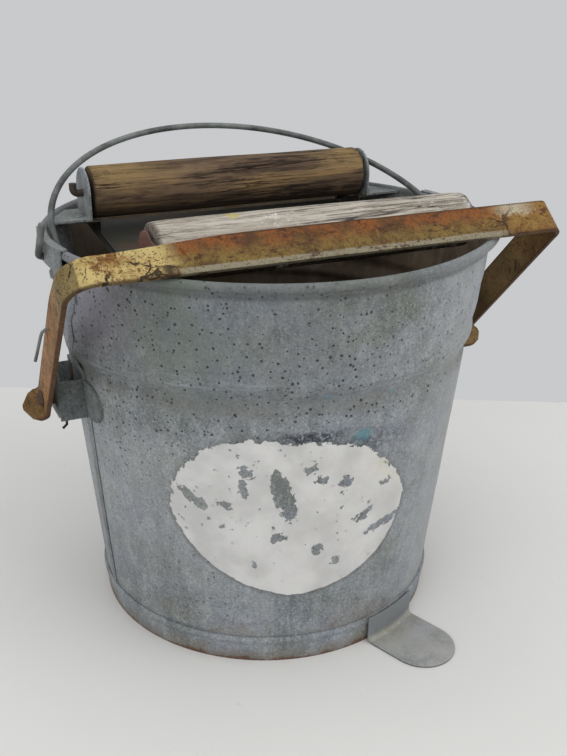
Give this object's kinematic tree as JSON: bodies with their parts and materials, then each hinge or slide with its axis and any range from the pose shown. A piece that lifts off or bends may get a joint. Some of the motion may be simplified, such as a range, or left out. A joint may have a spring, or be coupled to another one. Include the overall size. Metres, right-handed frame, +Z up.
{
  "type": "mop bucket",
  "caption": "Weathered galvanised mop bucket with a wire bail, a foot tab and a hand-lever wringer of two wooden rollers over a small drain tray",
  "frame": {"origin": "middle of the bucket's round foot, on the floor", "axes": "+X along the rollers to the lever's right leg, +Y to the rear roller, +Z up"},
  "size_m": [0.3616, 0.3137, 0.3155],
  "materials": {
    "weathered_zinc": "dull mottled galvanising with dark pits, streaks and light rust",
    "ochre_paint": "cracked ochre paint, chipped and rusted through",
    "red_brown_paint": "dull reddish-brown paint, worn",
    "rusty_steel": "dark rusted steel",
    "bail_wire": "dark weathered wire with rust spots",
    "roller_wood": "grey weathered wood with open grain, darkened by wet"
  },
  "bodies": {
    "bucket": {"bucket_body": "weathered_zinc", "rim_wire": "rusty_steel", "bucket_bottom": "weathered_zinc", "foot_ring": "weathered_zinc", "foot_tab": "weathered_zinc", "bail_ear_left": "weathered_zinc", "bail_ear_right": "weathered_zinc", "ear_rivets": "weathered_zinc", "pivot_bracket_left": "weathered_zinc", "pivot_bracket_right": "weathered_zinc", "pivot_pin_left": "rusty_steel", "pivot_pin_right": "rusty_steel", "spring_remains": "rusty_steel", "rear_carrier_left": "weathered_zinc", "rear_carrier_right": "weathered_zinc", "carrier_rivets": "weathered_zinc", "rear_axle": "rusty_steel", "drain_tray": "weathered_zinc", "tray_rivets": "weathered_zinc"},
    "lever": {"lever_strap": "ochre_paint", "spring_hook": "rusty_steel", "roller_lug_left": "red_brown_paint", "roller_lug_right": "red_brown_paint", "lug_rivets": "rusty_steel", "front_axle": "rusty_steel"},
    "bail": {"bail": "bail_wire"},
    "rear_roller": {"rear_roller": "roller_wood"},
    "front_roller": {"front_roller": "roller_wood"}
  },
  "joints": [
    {"name": "lever_swing", "type": "hinge", "parent": "bucket", "child": "lever", "pos_m": [0, 0, 0.1674], "axis": [-1, 0, 0], "range_deg": [0, 43]},
    {"name": "bail_swing", "type": "hinge", "parent": "bucket", "child": "bail", "pos_m": [0, 0, 0.262], "axis": [1, 0, 0], "range_deg": [0, 138]},
    {"name": "rear_roller_spin", "type": "hinge", "parent": "bucket", "child": "rear_roller", "pos_m": [0, 0.0663, 0.2845], "axis": [1, 0, 0], "continuous": true},
    {"name": "front_roller_spin", "type": "hinge", "parent": "lever", "child": "front_roller", "pos_m": [0, -0.0728, 0.27782], "axis": [1, 0, 0], "continuous": true}
  ]
}
